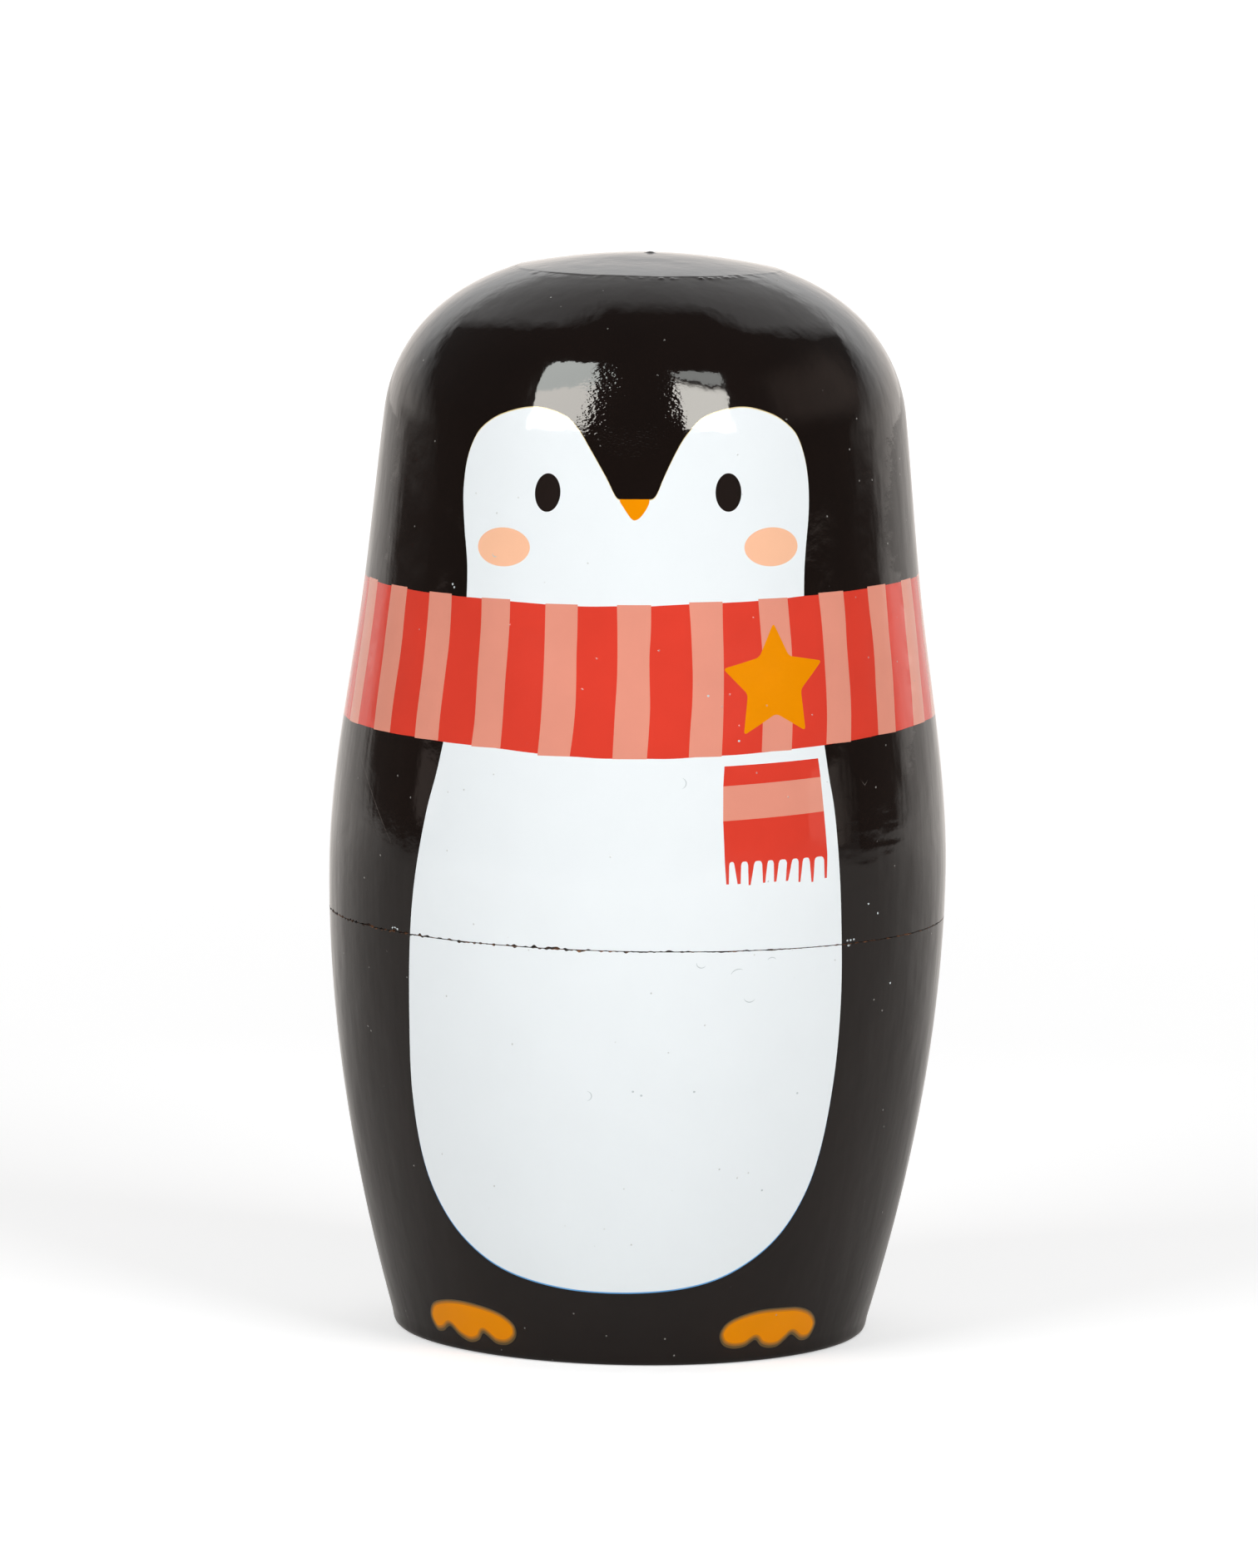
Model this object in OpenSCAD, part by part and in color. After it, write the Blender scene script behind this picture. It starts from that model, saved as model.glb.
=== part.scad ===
// A set of five turned wooden nesting dolls, standing one inside the other.
// Each hollow doll is two halves: the bottom half has a collar, the top half a rebate that takes it.
// +Z is up, the origin is at the middle of the base, and the painted front faces -Y.

/* [Largest doll] */
// Height from the base to the top of the crown
doll_h = 110; // [107:0.5:125]
// Diameter at the widest part of the belly
belly_d = 63; // [60:0.5:70]
// Height of the widest part of the belly
belly_z = 47.5; // [44:0.5:52]
// Height of the seam between the two halves
seam_z = 43; // [38:0.5:48]

/* [Base] */
// Diameter just above the rounded base edge
base_d = 49; // [44:0.5:54]
// Height of the rounded base edge
base_round = 1.7; // [0.8:0.1:3]
// Outward lean of the side above the base, in degrees
base_lean = 16; // [8:1:20]

/* [Head] */
// Diameter of the neck
neck_d = 56.5; // [54:0.5:59]
// Height of the neck
neck_z = 77; // [70:0.5:82]
// Inward lean of the neck and the side of the head, in degrees
neck_lean = 6.5; // [2:0.5:9]
// Diameter of the head where it starts to round over
head_d = 53; // [49:0.5:55]
// Height where the head starts to round over
head_z = 94; // [89:0.5:97]
// Diameter of the flattened crown
crown_d = 27; // [20:0.5:32]
// Height of the crown's dome above its edge
crown_rise = 1.5; // [0.8:0.1:3]
// Slope of the head where it meets the crown, in degrees
brow_slope = 18; // [12:0.5:26]
// Slope of the crown's dome at its edge, in degrees
crown_slope = 12; // [4:0.5:16]

/* [Shells] */
// Thickness of a top half's rim, outside the collar
rim_t = 2.3; // [1.8:0.1:2.8]
// Thickness of a bottom half's collar
collar_t = 2.3; // [1.8:0.1:2.8]
// Height of the largest doll's collar above the seam
collar_h = 7; // [4:0.5:9]
// Thickness of each floor
floor_t = 7; // [4:0.5:9]
// Thickness of the wood over each hollow, at the crown
crown_t = 10; // [6:0.5:12]

/* [Clearances] */
// Radial gap between a collar and its rim
fit_gap = 0.12; // [0.05:0.01:0.3]
// Gap above the end of a collar
collar_relief = 0.5; // [0.2:0.1:1]
// Gap round a doll inside the next larger one
nest_gap = 1; // [0.6:0.1:1.4]
// Free height above a doll inside the next larger one
headroom = 2.5; // [1:0.1:4]

/* [Edges] */
// Broken edge on both sides of the seam
seam_arris = 0.25; // [0.1:0.05:0.5]
// Lead-in at the end of a collar and inside a rim
lead_in = 0.5; // [0.2:0.1:0.8]

/* [Hidden] */

$fn = 96;
// Points along each curve of the outline
curve_steps = 18;
// Reach of a curve's handles, as shares of the straight line between its ends
side_handle_share = 1 / 3;
brow_handle_share = 0.32;
crown_handle_share = 0.44;
round_handle_share = 0.55;
// Overrun of cuts past the wood that they cut
overrun = 1;

lacquer = "#2a2422";

// Order of the dolls, from the outside in
large = 0;
second = 1;
third = 2;
fourth = 3;
smallest = 4;

// How much a doll's radius and height are under those of the doll round it
nest_step = [rim_t + collar_t + nest_gap, floor_t + crown_t + headroom];

// Points of the largest doll's outline that its curves join
base_edge = [base_d / 2, base_round];
belly = [belly_d / 2, belly_z];
neck = [neck_d / 2, neck_z];
head = [head_d / 2, head_z];
crown = [crown_d / 2, doll_h - crown_rise];
top = [0, doll_h];

// Directions of the outline at those points, going up
base_dir = [sin(base_lean), cos(base_lean)];
belly_dir = [0, 1];
neck_dir = [-sin(neck_lean), cos(neck_lean)];
brow_dir = [-cos(brow_slope), sin(brow_slope)];
crown_dir = [-cos(crown_slope), sin(crown_slope)];
top_dir = [-1, 0];

// Width and height of a doll against the largest one, and the height that it stands at
function doll_scale(doll) = [1 - doll * nest_step.x / belly.x, 1 - doll * nest_step.y / doll_h];
function doll_z(doll) = doll * floor_t;

// A cubic curve from a to b, leaving along a_dir and arriving along b_dir
function curve(a, a_dir, b, b_dir, a_share, b_share) =
    let (reach = norm(b - a), c = a + a_dir * reach * a_share, d = b - b_dir * reach * b_share)
    [for (i = [1 : curve_steps])
        let (t = i / curve_steps, s = 1 - t)
        s * s * s * a + 3 * s * s * t * c + 3 * s * t * t * d + t * t * t * b];

// A curve with the same handle at both ends
function side(a, a_dir, b, b_dir) = curve(a, a_dir, b, b_dir, side_handle_share, side_handle_share);

// Right-hand outline of the largest doll, from the flat of the base to the top of the crown
base_flat = base_edge - [base_round, base_round];
outline = concat(
    [base_flat],
    curve(base_flat, -top_dir, base_edge, base_dir, round_handle_share, round_handle_share),
    side(base_edge, base_dir, belly, belly_dir),
    side(belly, belly_dir, neck, neck_dir),
    side(neck, neck_dir, head, neck_dir),
    curve(head, neck_dir, crown, brow_dir, brow_handle_share, crown_handle_share),
    side(crown, crown_dir, top, top_dir)
);

// A doll's own outline, grown outwards and upwards by a gap
function doll_outline(doll, side_gap, top_gap) =
    let (s = doll_scale(doll), rise = s.y + top_gap / doll_h)
    [for (p = outline) [p.x * s.x + side_gap, p.y * rise]];

// Height of a doll's seam, and the doll's radius there
function doll_seam_z(doll) = doll_z(doll) + seam_z * doll_scale(doll).y;
function outline_r(z) = lookup(z, [for (p = outline) [p.y, p.x]]);
function seam_r(doll) = outline_r(seam_z) * doll_scale(doll).x;

// Outer radius of a doll's collar, and the height of its end
function collar_r(doll) = seam_r(doll) - rim_t;
function collar_z(doll) = doll_seam_z(doll) + collar_h * doll_scale(doll).y;

// Half section of a whole doll
module doll_section(doll) {
    translate([0, doll_z(doll)])
        polygon(concat([[0, 0]], doll_outline(doll, 0, 0)));
}

// Half section of the hollow in a doll: the next doll with its gap all round
module hollow_section(doll) {
    inner = doll + 1;
    inner_h = doll_h * doll_scale(inner).y;
    translate([0, doll_z(inner)])
        polygon(concat([[0, 0]], doll_outline(inner, nest_gap, headroom), [[0, inner_h + headroom]]));
}

// Everything below a height, out past the largest doll
module below(z) {
    translate([0, -overrun])
        square([belly_d, z + overrun]);
}

// Groove that the broken edges leave along the seam
module seam_groove(doll) {
    translate([seam_r(doll), doll_seam_z(doll)])
        rotate(45)
            square(seam_arris * sqrt(2), center = true);
}

// Half section of a collar, filled in to the axis, with its lead-in at the end
module collar_section(doll) {
    r = collar_r(doll);
    z = doll_seam_z(doll);
    polygon([
        [0, z - overrun],
        [r, z - overrun],
        [r, collar_z(doll) - lead_in],
        [r - lead_in, collar_z(doll)],
        [0, collar_z(doll)]
    ]);
}

// Half section of the rebate inside a rim, open below, with its lead-in
module rebate_section(doll) {
    r = collar_r(doll) + fit_gap;
    z = doll_seam_z(doll);
    polygon([
        [0, z - overrun],
        [r + lead_in + overrun, z - overrun],
        [r, z + lead_in],
        [r, collar_z(doll) + collar_relief],
        [0, collar_z(doll) + collar_relief]
    ]);
}

// Bottom half: bowl with the collar standing on its rim
module bottom_half(doll) {
    rotate_extrude()
        difference() {
            union() {
                difference() {
                    intersection() {
                        doll_section(doll);
                        below(doll_seam_z(doll));
                    }
                    seam_groove(doll);
                }
                collar_section(doll);
            }
            hollow_section(doll);
        }
}

// Top half: hood with the rebate turned inside its rim
module top_half(doll) {
    rotate_extrude()
        difference() {
            doll_section(doll);
            below(doll_seam_z(doll));
            seam_groove(doll);
            rebate_section(doll);
            hollow_section(doll);
        }
}

module large_doll_base() {
    color(lacquer) bottom_half(large);
}

module large_doll_top() {
    color(lacquer) top_half(large);
}

module second_doll_base() {
    color(lacquer) bottom_half(second);
}

module second_doll_top() {
    color(lacquer) top_half(second);
}

module third_doll_base() {
    color(lacquer) bottom_half(third);
}

module third_doll_top() {
    color(lacquer) top_half(third);
}

module fourth_doll_base() {
    color(lacquer) bottom_half(fourth);
}

module fourth_doll_top() {
    color(lacquer) top_half(fourth);
}

// The smallest doll is turned in one piece
module smallest_doll() {
    color(lacquer) rotate_extrude() doll_section(smallest);
}

large_doll_base();
large_doll_top();
second_doll_base();
second_doll_top();
third_doll_base();
third_doll_top();
fourth_doll_base();
fourth_doll_top();
smallest_doll();
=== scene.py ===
import math

import bpy
import numpy as np
from mathutils import Matrix, Vector, kdtree, noise
from mathutils.geometry import delaunay_2d_cdt


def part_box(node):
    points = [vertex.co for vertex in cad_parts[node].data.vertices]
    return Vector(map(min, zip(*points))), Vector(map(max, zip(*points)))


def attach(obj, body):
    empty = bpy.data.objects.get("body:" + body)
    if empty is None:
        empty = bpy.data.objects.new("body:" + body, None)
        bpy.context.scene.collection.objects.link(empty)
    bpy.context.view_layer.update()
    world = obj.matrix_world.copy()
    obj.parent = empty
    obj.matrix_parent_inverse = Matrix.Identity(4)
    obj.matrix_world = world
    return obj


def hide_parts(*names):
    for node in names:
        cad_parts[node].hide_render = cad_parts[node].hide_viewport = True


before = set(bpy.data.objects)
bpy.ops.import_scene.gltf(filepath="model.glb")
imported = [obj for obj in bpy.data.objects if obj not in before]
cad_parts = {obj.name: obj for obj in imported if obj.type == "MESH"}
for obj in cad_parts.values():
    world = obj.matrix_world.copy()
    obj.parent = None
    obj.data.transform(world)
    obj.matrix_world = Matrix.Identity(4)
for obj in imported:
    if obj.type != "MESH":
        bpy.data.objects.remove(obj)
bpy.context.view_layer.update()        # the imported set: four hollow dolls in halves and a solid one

mm = 0.001
touch = 1e-4  # millimetres between points that count as one
print("frame loaded:", len(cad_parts), "turned pieces")

# Outline of the largest doll, radius and height in millimetres. The others are the same, made smaller.
dollForm = {
    "height": 110.0,
    "seam": 43.0,
    "baseFlat": (23.3, 0.0),
    "baseEdge": (24.5, 1.7),
    "belly": (31.5, 47.5),
    "neck": (28.25, 77.0),
    "head": (26.5, 94.0),
    "crown": (13.5, 108.5),
    "top": (0.0, 110.0),
    "baseLean": 16.0,  # degrees off upright
    "neckLean": 6.5,
    "browSlope": 18.0,  # degrees off level
    "crownSlope": 12.0,
    "sideHandles": (1 / 3, 1 / 3),  # reach of a curve's handles, as shares of the line between its ends
    "roundHandles": (0.55, 0.55),
    "browHandles": (0.32, 0.44),
    "steps": 80,
    "probe": 0.03,  # reach each way for the direction of a face
}


def leaning(degrees):
    a = math.radians(degrees)
    return np.array((math.sin(a), math.cos(a)))


def cubicCurve(start, startDir, end, endDir, handles="sideHandles"):
    a, d = np.array(start), np.array(end)
    reach = np.linalg.norm(d - a)
    b = a + startDir * reach * dollForm[handles][0]
    c = d - endDir * reach * dollForm[handles][1]
    t = np.linspace(0, 1, dollForm["steps"] + 1)[:, None]
    return (1 - t) ** 3 * a + 3 * (1 - t) ** 2 * t * b + 3 * (1 - t) * t ** 2 * c + t ** 3 * d


def dollOutline():
    f = dollForm
    level, upright = np.array((1.0, 0.0)), leaning(0)
    base, neck = leaning(f["baseLean"]), leaning(-f["neckLean"])
    curves = [
        cubicCurve(f["baseFlat"], level, f["baseEdge"], base, "roundHandles"),
        cubicCurve(f["baseEdge"], base, f["belly"], upright),
        cubicCurve(f["belly"], upright, f["neck"], neck),
        cubicCurve(f["neck"], neck, f["head"], neck),
        cubicCurve(f["head"], neck, f["crown"], leaning(f["browSlope"] - 90), "browHandles"),
        cubicCurve(f["crown"], leaning(f["crownSlope"] - 90), f["top"], -level),
    ]
    return np.vstack([curves[0][:1]] + [c[1:] for c in curves])


def lengthAlong(line):
    return np.concatenate([[0], np.cumsum(np.linalg.norm(np.diff(line, axis=0), axis=1))])


form = dollOutline()
formR, formZ = form[:, 0], form[:, 1]
formS = lengthAlong(form)  # length up the side


def sideAt(z):
    return np.interp(z, formZ, formS)


def radiusAt(z):
    return np.interp(z, formZ, formR)


seamS = float(sideAt(dollForm["seam"]))


def ringNoise(angle, radius, size, seed):
    # noise round a ring of the doll, which joins up with itself at the back
    a = math.radians(angle)
    return noise.noise(Vector((math.sin(a) * radius / size, math.cos(a) * radius / size, seed)))


def ringAngles(columns):
    return np.linspace(-180, 180, columns + 1)


def between(ends, share):
    return ends[0] + (ends[1] - ends[0]) * share


# The print is laid out flat first: degrees round the doll from the middle of its front, and height in mm
flat = {
    "mmPerDegree": 0.5,
    "columns": 144,
    "rowStep": 1.0,
    "baseRows": 0.3,  # closer rows on the rounded base edge
    "basePast": 1.0,  # and this far past it
    "seamStep": 0.25,  # degrees between points along the seam
    "top": 98.5,  # the print ends here, and the plain crown starts
    "tilt": 0.0166,  # the print was laid on a little out of level
    "clear": 0.3,  # points of the grid stay this far from a colour's edge
    "join": 1e-5,
    "sliver": 1e-9,
}
sheetScale = np.array((flat["mmPerDegree"], 1.0))


def smoothLine(points, closed=False, step=0.35):
    # a smooth line through given points
    p = np.array(points, float)
    if closed:
        p = np.vstack([p[-1:], p, p[:2]])
    else:
        p = np.vstack([2 * p[0] - p[1], p, 2 * p[-1] - p[-2]])
    line = []
    for a, b, c, d in zip(p[:-3], p[1:-2], p[2:-1], p[3:]):
        count = max(2, int(np.linalg.norm((c - b) * sheetScale) / step))
        t = np.linspace(0, 1, count, endpoint=False)[:, None]
        line.append(0.5 * (2 * b + (c - a) * t + (2 * a - 5 * b + 4 * c - d) * t ** 2
                           + (3 * b - a - 3 * c + d) * t ** 3))
    if not closed:
        line.append(p[-2:-1])
    return np.vstack(line)


def closedShape(points, step=0.5):
    # straight sides round a closed shape, in short steps
    p = np.array(points, float)
    line = []
    for a, b in zip(p, np.roll(p, -1, 0)):
        count = max(1, int(np.linalg.norm((b - a) * sheetScale) / step))
        line.append(a + (b - a) * np.linspace(0, 1, count, endpoint=False)[:, None])
    return np.vstack(line)


def roundedShape(points, radius, most=0.45, steps=6):
    # straight-sided shape with its corners eased, over no more than a share of each side
    p = np.array(points, float)
    t = np.linspace(0, 1, steps)[:, None]
    line = []
    for before, corner, after in zip(np.roll(p, 1, 0), p, np.roll(p, -1, 0)):
        runs = [other - corner for other in (before, after)]
        ends = [corner + run * min(most, radius / np.linalg.norm(run * sheetScale)) for run in runs]
        line.append((1 - t) ** 2 * ends[0] + 2 * (1 - t) * t * corner + t ** 2 * ends[1])
    return closedShape(np.vstack(line))


def oval(centre, size, count=48):
    t = np.linspace(0, 2 * math.pi, count, endpoint=False)
    return np.stack([centre[0] + size[0] * np.cos(t), centre[1] + size[1] * np.sin(t)], 1)


def grown(outline, amount):
    # the same closed shape, larger all round by some millimetres
    p = outline * sheetScale
    along = np.roll(p, -1, 0) - np.roll(p, 1, 0)
    out = np.stack([along[:, 1], -along[:, 0]], 1) / np.linalg.norm(along, axis=1)[:, None]
    x, y = p[:, 0], p[:, 1]
    if np.sum(x * np.roll(y, -1) - np.roll(x, -1) * y) < 0:
        out = -out
    return (p + out * amount) / sheetScale


face = {
    "left": [(-36.4, 74), (-37.2, 80), (-38.8, 84), (-39.9, 87.4), (-39.7, 90.4), (-38.3, 92.6),
             (-36.0, 94.1), (-31.2, 95.45), (-23.6, 96.25), (-17.0, 95.65), (-13.3, 94.35), (-10.2, 92.2),
             (-6.8, 89.6), (-5.0, 87.98), (-4.45, 87.57), (-4.0, 87.37), (-3.4, 87.31)],
    "right": [(2.4, 87.31), (3.05, 87.36), (3.7, 87.59), (4.4, 88.2), (5.5, 89.5), (8.0, 91.95),
              (10.6, 93.85), (14.6, 95.5), (22.6, 96.28), (29.8, 95.5), (34.4, 94.1), (36.5, 92.75),
              (37.9, 90.6), (38.4, 88.2), (38.1, 85.4), (37.0, 82), (36.3, 79), (35.8, 74)],
    "eyes": [(-19.2, 87.95), (19.3, 88.0)],
    "eyeSize": (2.85, 1.9),
    "cheeks": [(-28.7, 82.42), (28.8, 82.5)],
    "cheekSize": (6.2, 1.92),
    "beak": [(-3.55, 87.44), (-3.66, 87.22), (-3.0, 86.72), (-2.0, 86.02), (-1.2, 85.53), (-0.4, 85.36),
             (0.6, 85.62), (1.6, 86.22), (2.2, 86.72), (2.5, 87.12), (2.5, 87.44)],
    "fringe": 0.1,  # the colours are printed a little out of line, which leaves a cream edge
}

belly = {
    "outline": [(-38.0, 66), (-39.7, 60), (-41.6, 55.4), (-44.2, 46), (-45.6, 35), (-46.4, 27),
                (-45.3, 20.4), (-41.9, 15.9), (-36.0, 12.4), (-27.0, 9.75), (-14.0, 8.25), (0.5, 7.87),
                (14.0, 8.35), (24.0, 9.8), (32.8, 12.7), (38.4, 16.7), (41.3, 21.6), (42.6, 29),
                (42.6, 37), (41.6, 46), (40.4, 55.6), (39.3, 60), (38.2, 66)],
    "fringe": 0.14,  # a blue edge on the lower side
}

scarf = {
    "top": [(-180, 77.3), (-110, 77.5), (-75, 77.5), (-50, 77.35), (-36, 77.25), (-20, 77.0), (-7, 76.88),
            (7, 77.05), (21, 77.2), (36, 77.42), (50, 77.58), (75, 77.6), (110, 77.5), (180, 77.3)],
    "bottom": [(-180, 62.6), (-110, 63.2), (-75, 63.2), (-48, 63.0), (-28, 62.7), (-14, 62.2), (0, 62.03),
               (14, 62.14), (40, 62.72), (58, 63.1), (80, 63.3), (120, 63.2), (180, 62.6)],
    "radius": 28,
    "ripple": 0.07,
    "rippleSize": 3.0,
    "rippleSeed": {"top": 1.3, "bottom": 8.7},
    "stripes": 25,
    "spread": 1.39,  # stripes a little wider apart at the front
    "squeeze": (0.029, 0.0126),  # and drawn in towards it, at the bottom and at the top
    "middle": (-0.48, -0.32),
    "bow": 0.38,  # and bent to the right halfway up, more on the right
    "pink": (3.15, 3.38),  # half width of a pink stripe, at the bottom and at the top
    "pinkRaise": 0.14,
    "pinkDrop": 0.06,
    "wobble": 0.42,
    "wobbleSeed": (3.7, 5.1, 2.4),
    "rows": 7,
    "star": [(28.6, 75.03), (31.8, 71.68), (39.55, 71.0), (34.1, 68.33), (34.6, 64.25), (28.3, 66.1),
             (21.4, 64.13), (22.5, 68.14), (17.55, 70.7), (25.2, 71.68)],
    "starRound": 0.45,
}

scarfTail = {
    # down each side: the top, the start and end of the pink band, and where the fringe starts
    "left": [(17.4, 61.16), (17.1, 59.21), (17.0, 55.78), (17.3, 51.6)],
    "right": [(37.1, 61.43), (37.4, 59.58), (37.8, 56.17), (38.3, 51.8)],
    # gaps in the fringe: left foot, left shoulder, right shoulder and right foot of each
    "arches": [(18.08, 18.12, 19.12, 19.72), (20.32, 20.40, 21.72, 21.84), (22.24, 22.88, 24.48, 24.64),
               (25.08, 25.52, 26.80, 26.84), (27.32, 27.80, 29.48, 29.24), (29.72, 30.48, 31.92, 31.88),
               (32.28, 32.80, 34.32, 34.68), (35.08, 35.40, 37.52, 37.60)],
    "archTop": 51.73,
    "shoulder": [(0, 0.36), (0.1, 0.12), (0.25, 0.02), (0.5, 0), (0.75, 0.02), (0.9, 0.12), (1, 0.36)],
    "tips": [49.52, 49.52, 49.36, 49.52, 49.56, 49.56, 49.36, 49.26, 49.52],  # heights of the threads' ends
    "ends": (17.6, 38.12),
}

feet = {
    "left": [(-52.5, 3.5), (-50.6, 4.85), (-46.2, 5.5), (-40.5, 5.72), (-34.5, 5.48), (-29.6, 4.92),
             (-26.5, 3.9), (-26.3, 2.7), (-28.6, 1.83), (-31.8, 1.8), (-35.1, 2.72), (-37.0, 1.9),
             (-39.8, 1.57), (-43.0, 2.05), (-45.8, 2.9), (-48.6, 2.25), (-51.1, 2.22)],
    "right": [(22.8, 3.1), (24.1, 4.2), (27.5, 4.92), (32.6, 5.33), (38.5, 5.28), (43.4, 5.05), (47.6, 4.3),
              (49.9, 3.05), (48.8, 1.75), (46.0, 1.6), (42.7, 2.4), (40.8, 1.9), (38.9, 1.36), (36.5, 1.28),
              (34.1, 1.6), (32.1, 2.32), (29.4, 1.7), (26.4, 1.62), (23.9, 2.05)],
    # edges that fade into the black: how far each colour reaches past the outline, and how far it drops
    "edges": [("olive", 0.1, 0.08), ("sienna", -0.1, 0.02), ("amber", -0.26, 0.0), ("orange", -0.42, 0.0)],
}

# Little dents, flecks and creases in the film, drawn in colour: painted shade in the dents and painted
# highlights on the creases. Each arc: degrees, height, size in mm, and its start and end
filmMarks = {
    "arcs": [(9.0, 59.6, 0.55, -70, 70), (20.4, 40.2, 0.8, 60, 160), (13.3, 41.7, 0.45, 170, 330),
             (26.8, 41.5, 0.5, 30, 150), (22.7, 38.2, 0.6, 200, 330), (-7.6, 28.3, 0.5, -80, 80),
             (-30.4, 81.8, 0.4, 190, 300)],
    "arcWidth": 0.09,
    "arcTaper": 0.15,
    "arcSteps": 14,
    "flecks": [(12.8, 28.7), (1.2, 28.8), (2.8, 28.4), (34.1, 27.9), (28.4, 18.1), (48.6, 46.4),
               (51.3, 45.3), (56.4, 37.9), (-40.8, 78.4), (-40.3, 78.1), (-49.6, 43.68), (-48.9, 43.64),
               (-48.2, 43.64), (43.4, 42.93), (44.2, 42.95), (45.0, 42.98), (43.7, 42.5),
               (14.5, 68.1), (20.4, 63.6)],
    "fleckSize": (0.24, 0.11),
    "fleckSteps": 10,
    # lines of creases in the film, drawn as lighter strips: painted highlights
    "creaseHighlights": [[(-65.5, 60.3), (-61.0, 58.2), (-55.2, 55.0), (-50.2, 52.0)],
                [(47.4, 58.95), (48.4, 58.3), (49.3, 58.75)]],
    "creaseHighlightWidth": 0.13,
    "creaseHighlightTaper": 0.1,
}


def scarfEdge(angle, edge):
    line = smoothLine(scarf[edge])
    ripple = ringNoise(angle, scarf["radius"], scarf["rippleSize"], scarf["rippleSeed"][edge])
    return float(np.interp(angle, line[:, 0], line[:, 1])) + scarf["ripple"] * ripple


def scarfLayers():
    s = scarf
    edges = [np.array([(a, scarfEdge(a, edge)) for a in ringAngles(360)]) for edge in ("top", "bottom")]
    layers = [("red", np.vstack([edges[0], edges[1][::-1]]), *edges)]
    half = s["stripes"] // 2
    for k in range(-half, half + 1):
        even = 360 / s["stripes"] * k
        turned = math.sin(math.radians(even))
        centre = even + s["spread"] * turned
        height = (scarfEdge(centre, "bottom") - s["pinkDrop"], scarfEdge(centre, "top") + s["pinkRaise"])
        frontShare = max(0.0, math.cos(math.radians(even / 2))) ** 0.5
        sides = []
        for side in (-1, 1):
            edge = []
            for share in np.linspace(0, 1, s["rows"]):
                wobble = noise.noise(Vector(np.multiply((k, side, share), s["wobbleSeed"])))
                angle = centre - between(s["squeeze"], share) * frontShare * centre
                angle += between(s["middle"], share)
                angle += s["bow"] * (1 + turned) * 4 * share * (1 - share)
                angle += side * between(s["pink"], share)
                edge.append((angle + s["wobble"] * wobble, between(height, share)))
            sides.append(smoothLine(edge, step=0.7))
        layers.append(("pink", closedShape(np.vstack([sides[0], sides[1][::-1]]))))
    layers.append(("orange", roundedShape(s["star"], s["starRound"])))
    return layers


def tailLayers():
    t = scarfTail
    lower = [(t["ends"][0], t["tips"][0])]
    for (foot, left, right, nextFoot), tip, nextTip in zip(t["arches"], t["tips"], t["tips"][1:]):
        lower.append((foot, tip))
        lower += [(between((left, right), share), t["archTop"] - drop) for share, drop in t["shoulder"]]
        lower.append((nextFoot, nextTip))
    lower.append((t["ends"][1], t["tips"][-1]))
    cloth = closedShape(t["left"] + lower + t["right"][::-1])
    band = closedShape(t["left"][1:3] + t["right"][2:0:-1])
    return [("red", cloth), ("pink", band)]


def tapered(width, count, taper):
    # width of a mark along its length, thin at both ends
    return width * np.sin(np.linspace(taper, math.pi - taper, count))


def markLayers():
    m = filmMarks
    layers = []
    for angle, z, size, start, end in m["arcs"]:
        t = np.radians(np.linspace(start, end, m["arcSteps"]))
        width = tapered(m["arcWidth"], m["arcSteps"], m["arcTaper"])
        ring = []
        for side in (1, -1):
            r = size + side * width / 2
            edge = np.stack([angle + r * np.cos(t) / flat["mmPerDegree"], z + r * np.sin(t)], 1)
            ring.append(edge[::side])
        # each dent's arc is drawn greyer: painted shade in the dent
        layers.append(("dentShadeAndFleck", np.vstack(ring)))
    # and small pale grey flecks
    layers += [("dentShadeAndFleck", oval(centre, m["fleckSize"], m["fleckSteps"])) for centre in m["flecks"]]
    for points in m["creaseHighlights"]:
        line = smoothLine(points)
        width = tapered(m["creaseHighlightWidth"], len(line), m["creaseHighlightTaper"])
        aside = np.stack([0 * width, width / 2], 1)
        # a lighter strip along the crease: a painted highlight
        layers.append(("creaseHighlight", np.vstack([line - aside, (line + aside)[::-1]])))
    return layers


def printLayers():
    # in the order that they lie on each other, from the bottom up
    lobes = closedShape(np.vstack([smoothLine(face[side], step=0.3) for side in ("left", "right")]))
    chest = closedShape(smoothLine(belly["outline"], step=0.3))
    layers = [
        ("cream", lobes + np.array((0, face["fringe"]))),
        ("white", lobes),
        ("blue", chest - np.array((0, belly["fringe"]))),
        ("white", chest),
        ("orange", closedShape(smoothLine(face["beak"], step=0.15), step=0.3)),
    ]
    layers += [("peach", oval(centre, face["cheekSize"])) for centre in face["cheeks"]]
    layers += [("ink", oval(centre, face["eyeSize"])) for centre in face["eyes"]]
    layers += scarfLayers() + tailLayers()
    for side in ("left", "right"):
        foot = smoothLine(feet[side], closed=True, step=0.2)
        for finish, reach, drop in feet["edges"]:
            layers.append((finish, grown(foot, reach) - np.array((0, drop))))
    return layers + markLayers()


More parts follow.
